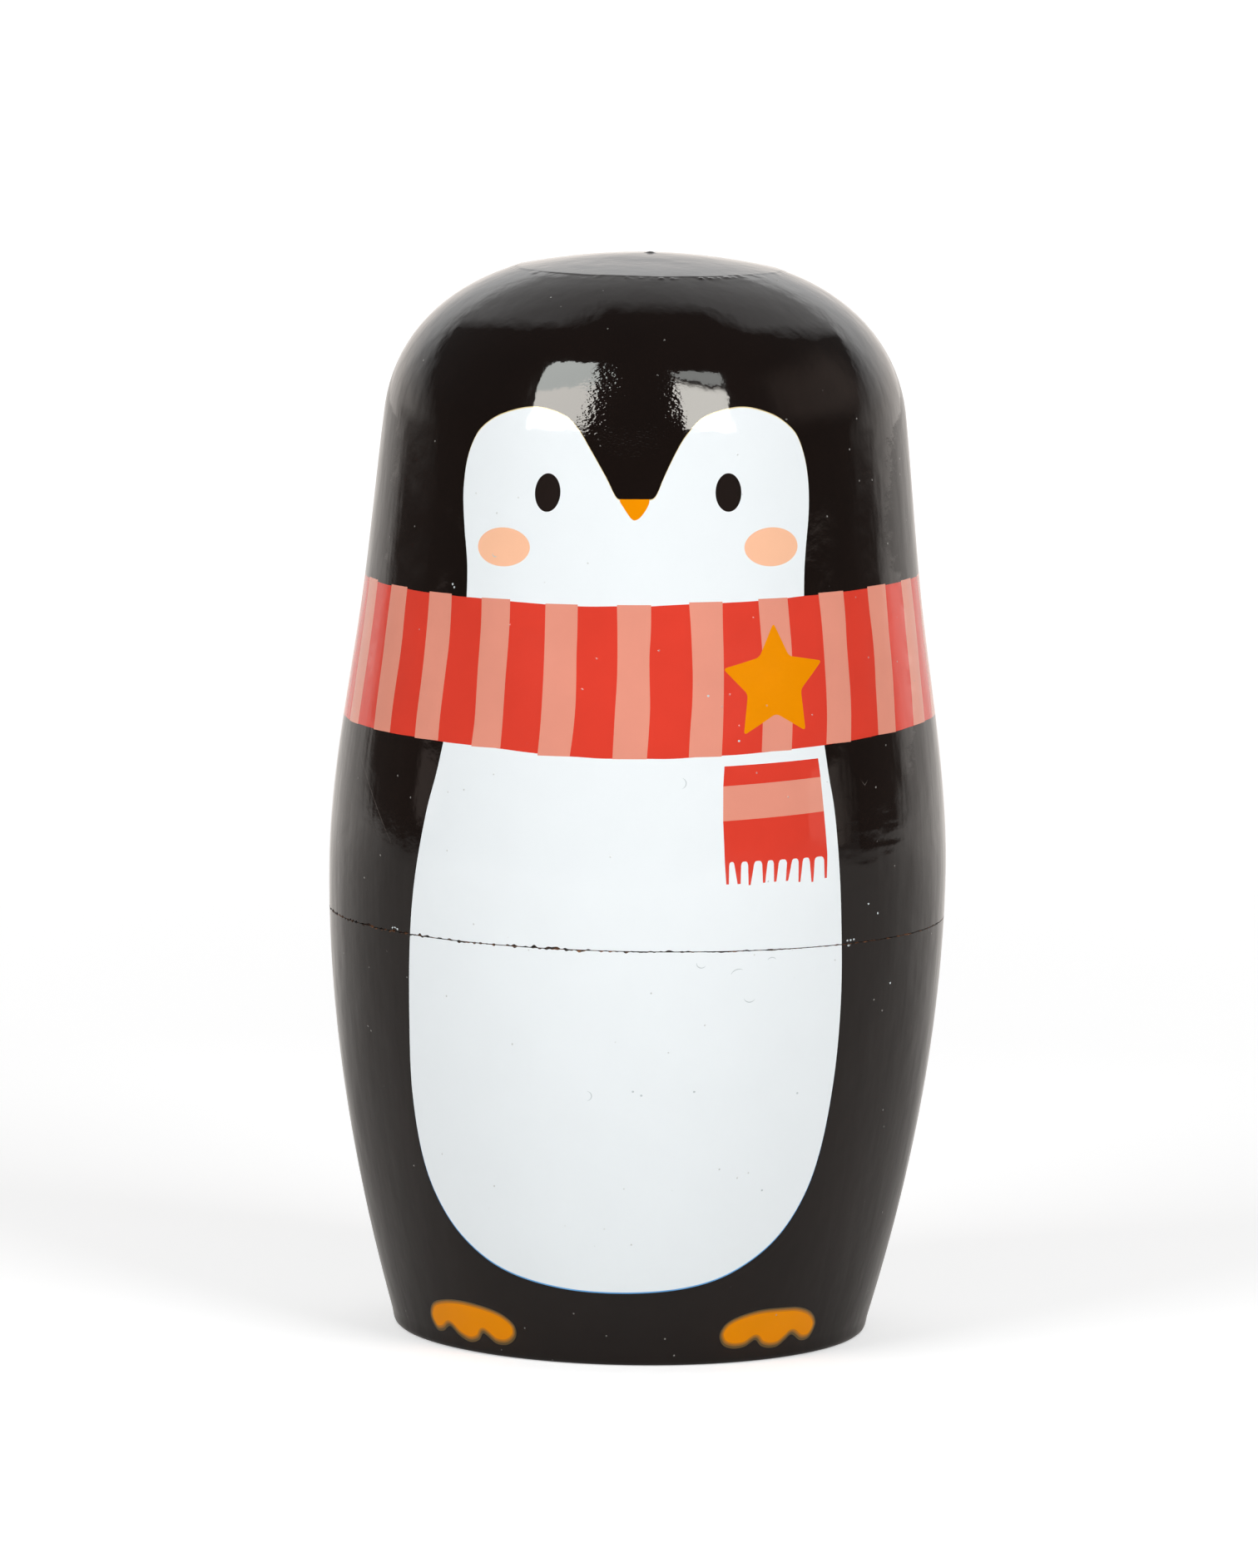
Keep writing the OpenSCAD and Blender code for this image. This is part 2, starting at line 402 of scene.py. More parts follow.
# Each ink's colour, how much it clouds, and its gloss where that isn't the film's
inks = {
    "black": ((19, 11, 8), 0.10),
    "white": ((238, 243, 245), 0.006),
    "red": ((221, 63, 46), 0.03),
    "pink": ((229, 149, 128), 0.03),
    "orange": ((236, 142, 0), 0.03, 0.12),
    "peach": ((251, 194, 158), 0.02),
    "ink": ((30, 22, 19), 0.08),
    "cream": ((226, 206, 150), 0.04),
    "blue": ((96, 164, 220), 0.04),
    "olive": ((98, 78, 44), 0.10),
    "sienna": ((156, 104, 38), 0.05),
    "amber": ((198, 121, 26), 0.03, 0.2),
    # greyer arcs of painted shade in small dents, and pale grey flecks
    "dentShadeAndFleck": ((196, 204, 206), 0.06),
    # lighter colour along creases in the film: a painted highlight
    "creaseHighlight": ((74, 68, 64), 0.2),
}
finishNames = [*inks, "rawEdge", "bareWood"]


def onSheet(line):
    # from degrees and height to the flat sheet, with the print's own tilt
    z = line[:, 1] + flat["tilt"] * radiusAt(line[:, 1]) * np.sin(np.radians(line[:, 0]))
    return np.stack([line[:, 0] * flat["mmPerDegree"], sideAt(z)], 1)


def insideOf(points, outline):
    hit = np.zeros(len(points), bool)
    low, high = outline.min(0), outline.max(0)
    near = np.nonzero(((points >= low) & (points <= high)).all(1))[0]
    x, y = points[near, 0], points[near, 1]
    odd = np.zeros(len(near), bool)
    for (ax, ay), (bx, by) in zip(outline, np.roll(outline, -1, 0)):
        if ay != by:
            odd ^= ((ay > y) != (by > y)) & (x < (bx - ax) * (y - ay) / (by - ay) + ax)
    hit[near] = odd
    return hit


def flatSheet():
    # the whole print as one sheet of triangles, cut along every edge of every colour
    edgeX = 180 * flat["mmPerDegree"]
    topS = float(sideAt(flat["top"]))
    roundS = float(sideAt(dollForm["baseEdge"][1])) + flat["basePast"]
    columns = np.linspace(-edgeX, edgeX, flat["columns"] + 1)
    rows = np.concatenate([
        np.arange(0, roundS, flat["baseRows"]),
        np.linspace(roundS, seamS, int((seamS - roundS) / flat["rowStep"]))[:-1],
        np.linspace(seamS, topS, int((topS - seamS) / flat["rowStep"])),
    ])
    layers = [(finish, onSheet(shape), [onSheet(line) for line in lines])
              for finish, shape, *lines in printLayers()]
    points, edges = [], []

    def addLine(line, closed):
        first = len(points)
        points.extend(map(tuple, line))
        edges.extend((i, i + 1) for i in range(first, len(points) - 1))
        if closed:
            edges.append((len(points) - 1, first))

    for _, shape, lines in layers:
        for line in lines:
            addLine(line, False)
        if not lines:
            addLine(shape, True)
    seamX = np.linspace(-edgeX, edgeX, int(round(360 / flat["seamStep"])) + 1)
    addLine(np.stack([seamX, np.full(len(seamX), seamS)], 1), False)

    taken = kdtree.KDTree(len(points))
    for i, (x, y) in enumerate(points):
        taken.insert((x, y, 0), i)
    taken.balance()
    for row, y in enumerate(rows):
        for column, x in enumerate(columns):
            border = row in (0, len(rows) - 1) or column in (0, len(columns) - 1)
            if taken.find((x, y, 0))[2] > (touch if border else flat["clear"]):
                points.append((x, y))
    made = delaunay_2d_cdt([Vector(p) for p in points], edges, [], 0, flat["join"], False)
    spots = np.array([tuple(v) for v in made[0]])
    corners = np.array([f[:3] for f in made[2]])
    a, b, c = spots[corners].transpose(1, 0, 2)
    area = (b[:, 0] - a[:, 0]) * (c[:, 1] - a[:, 1]) - (c[:, 0] - a[:, 0]) * (b[:, 1] - a[:, 1])
    corners[area < 0] = corners[area < 0][:, ::-1]
    corners = corners[np.abs(area) > flat["sliver"]]
    centres = spots[corners].mean(1)
    finishes = np.zeros(len(corners), int)
    for finish, shape, _ in layers:
        finishes[insideOf(centres, shape)] = finishNames.index(finish)
    return {"angle": spots[:, 0] / flat["mmPerDegree"], "side": spots[:, 1], "corners": corners,
            "finishes": finishes, "upper": centres[:, 1] > seamS, "topS": topS}


sheet = flatSheet()
print("print laid out:", len(sheet["side"]), "points,", len(sheet["corners"]), "triangles")


# Walls of the hollow dolls, in millimetres
walls = {
    "rim": 2.3,
    "fitGap": 0.12,
    "collarRelief": 0.5,
    "leadIn": 0.5,
    "nestGap": 1.0,
    "headroom": 2.5,
    "arris": 0.25,
    "arrisSlope": 0.7,
    "underRing": 8,  # a ring of points on the underside
    "columns": 144,
    "rowStep": 2.0,
    "floorBend": 2.2,  # closer rows where the hollow bends: over this height, every so many points
    "floorEvery": 10,
    "crownBend": 18,
    "crownEvery": 16,
}

# Lacquer along the seam is chipped, more on the left of the face than on the right
seamWear = {
    "radius": 31,
    "line": 0.04,
    "chip": 0.34,
    "grain": 0.5,
    "run": 4.0,
    "mix": (0.9, 0.4, 0.03),  # share of the grain, of the run, and what is chipped everywhere
    "rightShare": 0.3,
    "rightFrom": 4,  # degrees
    "rightEase": 7,
    "reach": 0.9,
}

# Where the film ends on the crown: a puckered edge, and the lathe's small nub in the middle
crownEdge = {
    "radius": 13.5,
    "wander": 0.16,
    "wanderSize": 3.0,
    "step": 0.06,
    "stepWidth": 0.06,
    "dish": 0.2,  # the crown is flatter behind its front edge
    "dishMiddle": 7.0,
    "dishWidth": 4.5,
    "near": 2.0,  # puckers and bubbles end this far from the edge
    "pucker": 0.06,
    "puckerSize": 0.7,
    "puckerTwist": 1.1,
    "puckerSlow": (2.2, 0.6),  # size and share of the longer puckers
    "puckerPlace": 0.25,
    "puckerWidth": 0.55,
    "bubble": 0.16,  # a row of small bubbles at the front
    "bubbleSize": 0.6,
    "bubbleMore": 0.1,
    "bubbleRun": (-12, 42),
    "bubbleEase": 3,
    "bubblePlace": 0.35,
    "bubbleWidth": 0.25,
    "columns": 432,
    "columnStep": 8,
    "edgeRows": (-1.2, 0.8),  # close rows about the edge, from it
    "nubRows": (-1.6, -0.12),  # and about the nub, from the top
    "rowCounts": (14, 24, 12, 10),
    "nubRadius": 0.45,
    "nubHeight": 0.16,
    "nubPlace": (0.25, -0.2),
}

dolls = [{"base": name + "_doll_base", "top": name + "_doll_top"}
         for name in ("large", "second", "third", "fourth")]
dolls.append({"base": "smallest_doll", "top": None})

for doll in dolls:
    low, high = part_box(doll["base"])
    # a base half is widest at its seam, so the belly's width comes from the top half
    topLow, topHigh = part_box(doll["top"] or doll["base"])
    doll["floor"] = low.z / mm
    doll["wide"] = (topHigh.x - topLow.x) / 2 / mm / dollForm["belly"][0]
    doll["tall"] = (topHigh.z - low.z) / mm / dollForm["height"]
    if doll["top"]:
        doll["seam"] = topLow.z / mm
        doll["collarEnd"] = high.z / mm
        doll["seamRadius"] = float(radiusAt(dollForm["seam"])) * doll["wide"]
        doll["collarRadius"] = doll["seamRadius"] - walls["rim"]


class Shell:
    # the faces of one piece, and the length done round its section, which the texture layout needs
    def __init__(self, doll, total):
        self.doll, self.total = doll, total
        self.done, self.count = 0.0, 0
        self.points, self.faces, self.finishes = [], [], []
        self.normals, self.uvs = [], []

    def add(self, points, normals, angle, along, faces, finish):
        # the finish is one name, or an index for each face
        points, normals = points.reshape(-1, 3), normals.reshape(-1, 3)
        across, up = np.broadcast_arrays((angle + 180) / 360, (self.done + along) / self.total)
        uvs = np.stack([across, up], -1).reshape(-1, 2)
        self.points.append(points)
        for corners in faces:
            self.faces.append([self.count + i for i in corners])
            self.normals.extend(normals[i] for i in corners)
            self.uvs.extend(uvs[i] for i in corners)
        self.finishes += [finishNames.index(finish)] * len(faces) if isinstance(finish, str) else finish
        self.count += len(points)


def spun(radius, z, angle, outward, upward):
    # a point of the section, and its normal, turned to an angle
    a = np.radians(angle)
    points = np.stack([radius * np.sin(a), -radius * np.cos(a), z + 0 * a], -1)
    length = np.sqrt(outward ** 2 + upward ** 2)
    normals = np.stack([outward * np.sin(a), -outward * np.cos(a), upward + 0 * a], -1) / length[..., None]
    return points, normals


def outside(doll, angle, side):
    # points and normals on a doll's outer face
    low, high = (np.clip(side + reach, 0, formS[-1]) for reach in (-dollForm["probe"], dollForm["probe"]))
    alongR = (np.interp(high, formS, formR) - np.interp(low, formS, formR)) * doll["wide"]
    alongZ = (np.interp(high, formS, formZ) - np.interp(low, formS, formZ)) * doll["tall"]
    radius = np.interp(side, formS, formR) * doll["wide"]
    z = doll["floor"] + np.interp(side, formS, formZ) * doll["tall"]
    return spun(radius, z, angle, alongZ, -alongR)


def gridFaces(rows, columns):
    return [(i * columns + j, i * columns + j + 1, (i + 1) * columns + j + 1, (i + 1) * columns + j)
            for i in range(rows - 1) for j in range(columns - 1)]


def stitchFaces(first, second):
    # triangles between two rings with different numbers of points, by angle
    faces, i, j = [], 0, 0
    offset = len(first)
    while i < len(first) - 1 or j < len(second) - 1:
        if j == len(second) - 1 or (i < len(first) - 1 and first[i + 1] <= second[j + 1]):
            faces.append((i, i + 1, offset + j))
            i += 1
        else:
            faces.append((i, offset + j + 1, offset + j))
            j += 1
    return faces


def hump(distance, width, power=2):
    return math.exp(-(distance / width) ** power)


def fallOff(distance, width):
    return 1 / (1 + math.exp(distance / width))


def chipped(angle, up):
    # how far the lacquer's edge stands back from the seam, up or down from it
    w = seamWear
    share = w["rightShare"] + (1 - w["rightShare"]) * fallOff(angle - w["rightFrom"], w["rightEase"])
    fine = ringNoise(angle, w["radius"], w["grain"], 2.0 + up)
    slow = ringNoise(angle, w["radius"], w["run"], 6.0 + up)
    depth = max(0.0, fine * w["mix"][0] + slow * w["mix"][1] + w["mix"][2])
    return up * (w["line"] + w["chip"] * share * depth)


def addPrint(shell, chosen, up):
    # the printed outer face, with the seam's edge shifted to its chipped line
    doll = shell.doll
    used, corners = np.unique(sheet["corners"][chosen], return_inverse=True)
    angle, side = sheet["angle"][used], sheet["side"][used]
    fade = np.clip(1 - np.abs(side - seamS) / seamWear["reach"], 0, 1)
    moved = side + fade * np.array([chipped(a, up) if f > 0 else 0.0 for a, f in zip(angle, fade)])
    points, normals = outside(doll, angle, moved)
    along = (side - side.min()) * doll["tall"]
    faces = corners.reshape(-1, 3).tolist()
    shell.add(points, normals, angle, along, faces, sheet["finishes"][chosen].tolist())
    shell.done += along.max()
    rim = np.nonzero(np.abs(side - seamS) < touch)[0]
    rim = rim[np.argsort(angle[rim])]
    return angle[rim], points[rim]


def addStrip(shell, first, second, upward):
    # the raw edge of the seam, a narrow band between two rings
    angle = np.concatenate([first[0], second[0]])
    normals = spun(0.0, 0.0, angle, walls["arrisSlope"], upward * walls["arrisSlope"])[1]
    along = np.repeat((0.0, walls["arris"]), (len(first[0]), len(second[0])))
    faces = stitchFaces(first[0], second[0])
    shell.add(np.vstack([first[1], second[1]]), normals, angle, along, faces, "rawEdge")
    shell.done += walls["arris"]


def addRun(shell, line, finish):
    # one smooth stretch of the section, turned on the lathe
    line = np.array(line, float)
    along = lengthAlong(line)
    slope = np.gradient(line, along, axis=0)
    rows, columns = len(line), walls["columns"] + 1
    grid = np.broadcast_to(ringAngles(walls["columns"]), (rows, columns))
    points, normals = spun(line[:, :1], line[:, 1:], grid, slope[:, 1:], -slope[:, :1])
    onAxis = line[:, 0] == 0
    faces = []
    for a, b, c, d in gridFaces(rows, columns):
        if onAxis[a // columns]:
            faces.append((a, c, d))
        elif onAxis[c // columns]:
            faces.append((a, b, c))
        else:
            faces.append((a, b, c, d))
    shell.add(points, normals, grid, along[:, None], faces, finish)
    shell.done += along[-1]


def crownLift(x, y):
    # height of the film's puckered edge and of the nub, on the crown of the largest doll's size
    e = crownEdge
    radius = math.hypot(x, y)
    angle = math.degrees(math.atan2(x, -y))

    def wave(size, seed):
        return ringNoise(angle, e["radius"], size, seed)

    past = radius - (e["radius"] + e["wander"] * wave(e["wanderSize"], 4.4))
    front = max(0.0, math.cos(math.radians(angle))) ** 2
    lift = e["step"] * fallOff(past, e["stepWidth"])
    lift -= e["dish"] * front * hump(radius - e["dishMiddle"], e["dishWidth"])
    if abs(past) < e["near"]:
        slowSize, slowShare = e["puckerSlow"]
        wrinkle = wave(e["puckerSize"], radius * e["puckerTwist"]) + slowShare * wave(slowSize, 9.1)
        lift += e["pucker"] * hump(past - e["puckerPlace"], e["puckerWidth"]) * max(0.0, wrinkle)
        start, end = e["bubbleRun"]
        run = fallOff(start - angle, e["bubbleEase"]) * fallOff(angle - end, e["bubbleEase"])
        row = max(0.0, wave(e["bubbleSize"], 3.3) + e["bubbleMore"])
        lift += e["bubble"] * run * row * hump(past - e["bubblePlace"], e["bubbleWidth"])
    nub = math.hypot(x - e["nubPlace"][0], y - e["nubPlace"][1])
    return lift + e["nubHeight"] * hump(nub, e["nubRadius"], 4)


def addCrown(shell):
    # the plain crown above the print, up to the middle
    doll, step = shell.doll, crownEdge["columnStep"]
    columns = max(flat["columns"], int(crownEdge["columns"] * doll["wide"] / step) * step)
    topS, endS = sheet["topS"], formS[-1]
    domed = formZ > dollForm["head"][1]
    edgeS = float(np.interp(-crownEdge["radius"], -formR[domed], formS[domed]))
    stops = [topS] + [edgeS + past for past in crownEdge["edgeRows"]]
    stops += [endS + past for past in crownEdge["nubRows"]]
    rows = np.concatenate([np.linspace(low, high, count)[1:]
                           for low, high, count in zip(stops, stops[1:], crownEdge["rowCounts"])])
    lower, angle = ringAngles(flat["columns"]), ringAngles(columns)
    ringPoints, ringNormals = outside(doll, lower, topS)
    grid = np.broadcast_to(angle, (len(rows), len(angle)))
    points, normals = outside(doll, grid, rows[:, None])
    lift = np.array([[crownLift(*p[:2] / doll["wide"]) for p in row] for row in points])
    lift[:, -1] = lift[:, 0]
    points = points + normals * (lift * doll["tall"])[..., None]
    # normals of the lifted face, from its own neighbours
    alongRing = np.roll(points[:, :-1], -1, 1) - np.roll(points[:, :-1], 1, 1)
    alongRing = np.concatenate([alongRing, alongRing[:, :1]], 1)
    bent = np.cross(alongRing, np.gradient(points, axis=0))
    bent /= np.linalg.norm(bent, axis=-1)[..., None]
    bent[0] = normals[0]
    # ring that joins the crown to the print
    along, whole = (rows - topS) * doll["tall"], (endS - topS) * doll["tall"]
    shell.add(np.vstack([ringPoints, points[0]]), np.vstack([ringNormals, bent[0]]),
              np.concatenate([lower, angle]), np.repeat((0.0, along[0]), (len(lower), len(angle))),
              stitchFaces(lower, angle), "black")
    # the rings above it, with bare wood on the nub
    faces = gridFaces(len(rows), len(angle))
    onNub = np.linalg.norm(points[..., :2], axis=-1).mean(1) / doll["wide"] < crownEdge["nubRadius"]
    finishes = [finishNames.index("rawEdge" if onNub[f[0] // len(angle)] else "black") for f in faces]
    shell.add(points, bent, grid, along[:, None], faces, finishes)
    # the last small fan
    middle = (0, 0, points[-1][:, 2].mean())
    shell.add(np.vstack([points[-1], [middle] * columns]), np.vstack([bent[-1], [(0, 0, 1)] * columns]),
              np.concatenate([angle, (angle[:-1] + angle[1:]) / 2]),
              np.repeat((along[-1], whole), (len(angle), columns)),
              [(j, j + 1, len(angle) + j) for j in range(columns)], "rawEdge")
    shell.done += whole


def hollowLine(inner, fromZ, toZ):
    # the hollow's side, downwards: the next doll's outline with its gap, between two heights
    r = formR * inner["wide"] + walls["nestGap"]
    z = inner["floor"] + formZ * (inner["tall"] + walls["headroom"] / dollForm["height"])

    def closer(every, low, high):
        some = z[::every]
        return some[(some > low) & (some < high)]

    heights = [np.linspace(fromZ, toZ, max(2, int((fromZ - toZ) / walls["rowStep"])) + 1)]
    if toZ <= inner["floor"] + touch:
        heights.append(closer(walls["floorEvery"], toZ, toZ + walls["floorBend"]))
    if fromZ >= z[-1] - touch:
        heights.append(closer(walls["crownEvery"], z[-1] - walls["crownBend"], fromZ))
    heights = np.unique(np.concatenate(heights))[::-1]
    return [(float(np.interp(h, z, r)), float(h)) for h in heights]


def lengthOf(*runs):
    return sum(float(lengthAlong(run)[-1]) for run in runs)


def underside(doll):
    return [(r * doll["wide"], doll["floor"]) for r in (0, walls["underRing"], dollForm["baseFlat"][0])]


def seamRing(doll):
    # inner edge of the raw band along the seam
    ring = ringAngles(walls["columns"])
    return ring, spun(doll["seamRadius"] - walls["arris"], doll["seam"], ring, 1.0, 1.0)[0]


def baseHalf(doll, inner):
    seam, end, wall = doll["seam"], doll["collarEnd"], doll["collarRadius"]
    lead, under = walls["leadIn"], underside(doll)
    hollow = hollowLine(inner, end, inner["floor"])
    runs = [
        [(doll["seamRadius"] - walls["arris"], seam), (wall, seam)],
        [(wall, seam), (wall, (seam + end) / 2), (wall, end - lead)],
        [(wall, end - lead), (wall - lead, end)],
        [(wall - lead, end), hollow[0]],
        hollow,
        [hollow[-1], (hollow[-1][0] / 2, inner["floor"]), (0, inner["floor"])],
    ]
    shell = Shell(doll, lengthOf(under) + seamS * doll["tall"] + walls["arris"] + lengthOf(*runs))
    addRun(shell, under, "black")
    rim = addPrint(shell, ~sheet["upper"], -1)
    addStrip(shell, rim, seamRing(doll), 1)
    for run in runs:
        addRun(shell, run, "bareWood")
    return shell


def topHalf(doll, inner):
    seam, lead = doll["seam"], walls["leadIn"]
    ledge = doll["collarEnd"] + walls["collarRelief"]
    rebate = doll["collarRadius"] + walls["fitGap"]
    innerTop = inner["floor"] + dollForm["height"] * inner["tall"] + walls["headroom"]
    hollow = hollowLine(inner, innerTop, ledge)
    runs = [
        [(0, innerTop), hollow[0]],
        hollow,
        [hollow[-1], (rebate, ledge)],
        [(rebate, ledge), (rebate, (ledge + seam) / 2), (rebate, seam + lead)],
        [(rebate, seam + lead), (rebate + lead, seam)],
        [(rebate + lead, seam), (doll["seamRadius"] - walls["arris"], seam)],
    ]
    shell = Shell(doll, (formS[-1] - seamS) * doll["tall"] + lengthOf(*runs) + walls["arris"])
    rim = addPrint(shell, sheet["upper"], 1)
    addCrown(shell)
    for run in runs:
        addRun(shell, run, "bareWood")
    addStrip(shell, seamRing(doll), rim, -1)
    return shell


def solidDoll(doll):
    under = underside(doll)
    shell = Shell(doll, lengthOf(under) + formS[-1] * doll["tall"])
    addRun(shell, under, "black")
    addPrint(shell, np.ones(len(sheet["corners"]), bool), 0)
    addCrown(shell)
    return shell


def addObject(name, data):
    made = bpy.data.objects.new(name, data)
    bpy.context.scene.collection.objects.link(made)
    return made


def makePiece(shell, node, finishes):
    name = "painted_" + node
    points = np.vstack(shell.points)
    keys = np.rint(points / touch).astype(np.int64)
    _, first, again = np.unique(keys, axis=0, return_index=True, return_inverse=True)
    again = again.ravel()
    faces = [[int(again[i]) for i in corners] for corners in shell.faces]
    mesh = bpy.data.meshes.new(name)
    mesh.from_pydata((points[first] * mm).tolist(), [], faces)
    for finish in finishNames:
        mesh.materials.append(finishes[finish])
    mesh.polygons.foreach_set("material_index", shell.finishes)
    mesh.polygons.foreach_set("use_smooth", [True] * len(faces))
    layout = mesh.uv_layers.new(name="OFBake")
    layout.data.foreach_set("uv", np.array(shell.uvs, np.float32).ravel())
    mesh.normals_split_custom_set([tuple(n) for n in shell.normals])
    piece = addObject(name, mesh)
    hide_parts(node)
    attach(piece, node)


def addNode(tree, kind, sockets, output=0, **settings):
    # makes a node and gives back one of its outputs, or all of them for None
    made = tree.nodes.new("ShaderNode" + kind)
    for key, value in settings.items():
        setattr(made, key, value)
    for key, value in sockets.items():
        if isinstance(value, bpy.types.NodeSocket):
            tree.links.new(value, made.inputs[key])
        else:
            made.inputs[key].default_value = value
    return made.outputs if output is None else made.outputs[output]


def maths(tree, operation, *values):
    return addNode(tree, "Math", dict(enumerate(values)), operation=operation)


def ranged(tree, value, fromRange=(0, 1), toRange=(0, 1), interpolation="LINEAR"):
    sockets = {"Value": value, "From Min": fromRange[0], "From Max": fromRange[1],
               "To Min": toRange[0], "To Max": toRange[1]}
    return addNode(tree, "MapRange", sockets, interpolation_type=interpolation)


def mixColours(tree, factor, first, second):
    return addNode(tree, "Mix", {0: factor, 6: first, 7: second}, 2, data_type="RGBA")


def bumped(tree, height, distance, normal=None):
    sockets = {"Height": height, "Distance": distance * mm, "Strength": 1.0}
    if normal:
        sockets["Normal"] = normal
    return addNode(tree, "Bump", sockets)


def emptyTree(owner):
    owner.use_nodes = True
    owner.node_tree.nodes.clear()
    return owner.node_tree


def newMaterial(name):
    material = bpy.data.materials.new(name)
    return material, emptyTree(material)


def showShader(tree, shader, kind="Material"):
    addNode(tree, "Output" + kind, {"Surface": shader}, None)


def newFinish(name, look, *values):
    material, tree = newMaterial(name)
    place = addNode(tree, "TexCoord", {}, "Object")
    showShader(tree, addNode(tree, "BsdfPrincipled", look(tree, place, *values)))
    return material


def toLinear(*levels):
    shares = [level / 255 for level in levels]
    return (*(v / 12.92 if v <= 0.04045 else ((v + 0.055) / 1.055) ** 2.4 for v in shares), 1.0)


# Glossy printed film: soft ripples, slanting streaks, a fine skin, rough patches and specks of dust, drawn
# pale grey as dust and as a painted glint
film = {
    "ripple": (7.0, 0.12),  # size and height, in millimetres
    "fold": (2.2, 0.016),
    "skin": (0.5, 0.005),
    "streak": (2.5, 0.05),
    "detail": 2.0,
    "streakSlant": 38.0,  # degrees
    "streakLong": 7.0,
    "pebble": (0.42, 0.044),
    "pebbleFlat": 2.0,  # wider than they are high
    "pebblePatches": [(-2, 96.2, 6.8)],  # degrees, height and reach
    "wrinkle": (9.0, 0.09),
    "wrinkleFlat": 5.0,
    "wrinklePatches": [(50, 54.0, 7.5)],
    "patchDetail": 1.0,
    "patchCore": 0.4,  # share of a patch's reach that is full
    "dustSpacing": 2.4,
    "dustSize": 0.058,
    "dustHeight": 0.05,
    "dustAndGlintShare": 0.75,
    # colour of the specks: dust, and a painted glint on the dark inks
    "dustAndGlintColour": toLinear(175, 173, 167),
    "cloudSize": 6.0,
    "cloudDetail": 4.0,
    "cloudRange": (0.3, 0.7),
    "roughness": (0.035, 0.08),
    "gloss": 0.36,
}


def noiseOf(tree, place, size, detail):
    return addNode(tree, "TexNoise", {"Vector": place, "Scale": 1 / (size * mm), "Detail": detail})


def dustAndGlintSpecks(tree, place):
    away = addNode(tree, "TexVoronoi", {"Vector": place, "Scale": 1 / (film["dustSpacing"] * mm)})
    return ranged(tree, away, (0.0, film["dustSize"]), (1.0, 0.0), "SMOOTHSTEP")


def patchShare(tree, place, patches):
    # 1 in the middle of each patch, 0 outside all of them
    share = 0.0
    for angle, z, reach in patches:
        a, r = math.radians(angle), float(radiusAt(z))
        middle = Vector((r * math.sin(a), -r * math.cos(a), z)) * mm
        away = addNode(tree, "VectorMath", {0: place, 1: middle}, "Value", operation="DISTANCE")
        edge = (reach * mm * film["patchCore"], reach * mm)
        share = maths(tree, "MAXIMUM", ranged(tree, away, edge, (1.0, 0.0), "SMOOTHSTEP"), share)
    return share


def patchBumps(tree, place, name):
    flatter = addNode(tree, "Mapping", {"Vector": place, "Scale": (1, 1, film[name + "Flat"])})
    bumps = noiseOf(tree, flatter, film[name][0], film["patchDetail"])
    return maths(tree, "MULTIPLY", bumps, patchShare(tree, place, film[name + "Patches"]))


def filmBump(tree, place, specks):
    turn = {"Rotation": (0, math.radians(film["streakSlant"]), 0), "Scale": (1, 1, 1 / film["streakLong"])}
    slanted = addNode(tree, "Mapping", {"Vector": place, **turn})
    places = {"ripple": place, "fold": place, "skin": place, "streak": slanted}
    heights = [(noiseOf(tree, spot, film[name][0], film["detail"]), film[name][1])
               for name, spot in places.items()]
    heights += [(patchBumps(tree, place, name), film[name][1]) for name in ("pebble", "wrinkle")]
    heights.append((specks, film["dustHeight"]))
    bump = None
    for height, distance in heights:
        bump = bumped(tree, height, distance, bump)
    return bump


def printedFilm(tree, place, colour, mottle, gloss=film["gloss"]):
    cloud = noiseOf(tree, place, film["cloudSize"], film["cloudDetail"])
    even = toLinear(*colour)[:3]
    darker = [c * (1 - mottle) for c in even] + [1.0]
    lighter = [min(1.0, c * (1 + mottle)) for c in even] + [1.0]
    inked = mixColours(tree, ranged(tree, cloud, film["cloudRange"]), darker, lighter)
    specks = dustAndGlintSpecks(tree, place)
    # the specks turn the colour pale grey: dust, and a painted glint on the dark inks
    seen = maths(tree, "MULTIPLY", specks, film["dustAndGlintShare"])
    return {
        "Base Color": mixColours(tree, seen, inked, film["dustAndGlintColour"]),
        "Roughness": ranged(tree, cloud, toRange=film["roughness"]),
        "Normal": filmBump(tree, place, specks),
        "Specular IOR Level": gloss,
    }


# Raw limewood: pale, with the rings that the turning tool leaves
limewood = {
    "light": toLinear(226, 196, 150),
    "dark": toLinear(196, 158, 108),
    "grain": {"Scale": 1.0, "Detail": 6.0, "Distortion": 0.4},
    "grainStretch": (420, 420, 55),  # grains to the metre, longer upwards
    "rings": {"Distortion": 1.2, "Detail": 2.0, "Detail Scale": 0.6},
    "ringPitch": 0.55,
    "ringHeight": 0.02,
    "roughness": (0.55, 0.72),
}
wavePitch = 0.314  # of a wave texture at scale 1


def bareWood(tree, place):
    stretched = addNode(tree, "Mapping", {"Vector": place, "Scale": limewood["grainStretch"]})
    grain = addNode(tree, "TexNoise", {"Vector": stretched, **limewood["grain"]})
    scale = wavePitch / (limewood["ringPitch"] * mm)
    rings = addNode(tree, "TexWave", {"Vector": place, "Scale": scale, **limewood["rings"]}, "Fac",
                    bands_direction="Z")
    return {
        "Base Color": mixColours(tree, grain, limewood["dark"], limewood["light"]),
        "Roughness": ranged(tree, grain, toRange=limewood["roughness"]),
        "Normal": bumped(tree, rings, limewood["ringHeight"]),
    }


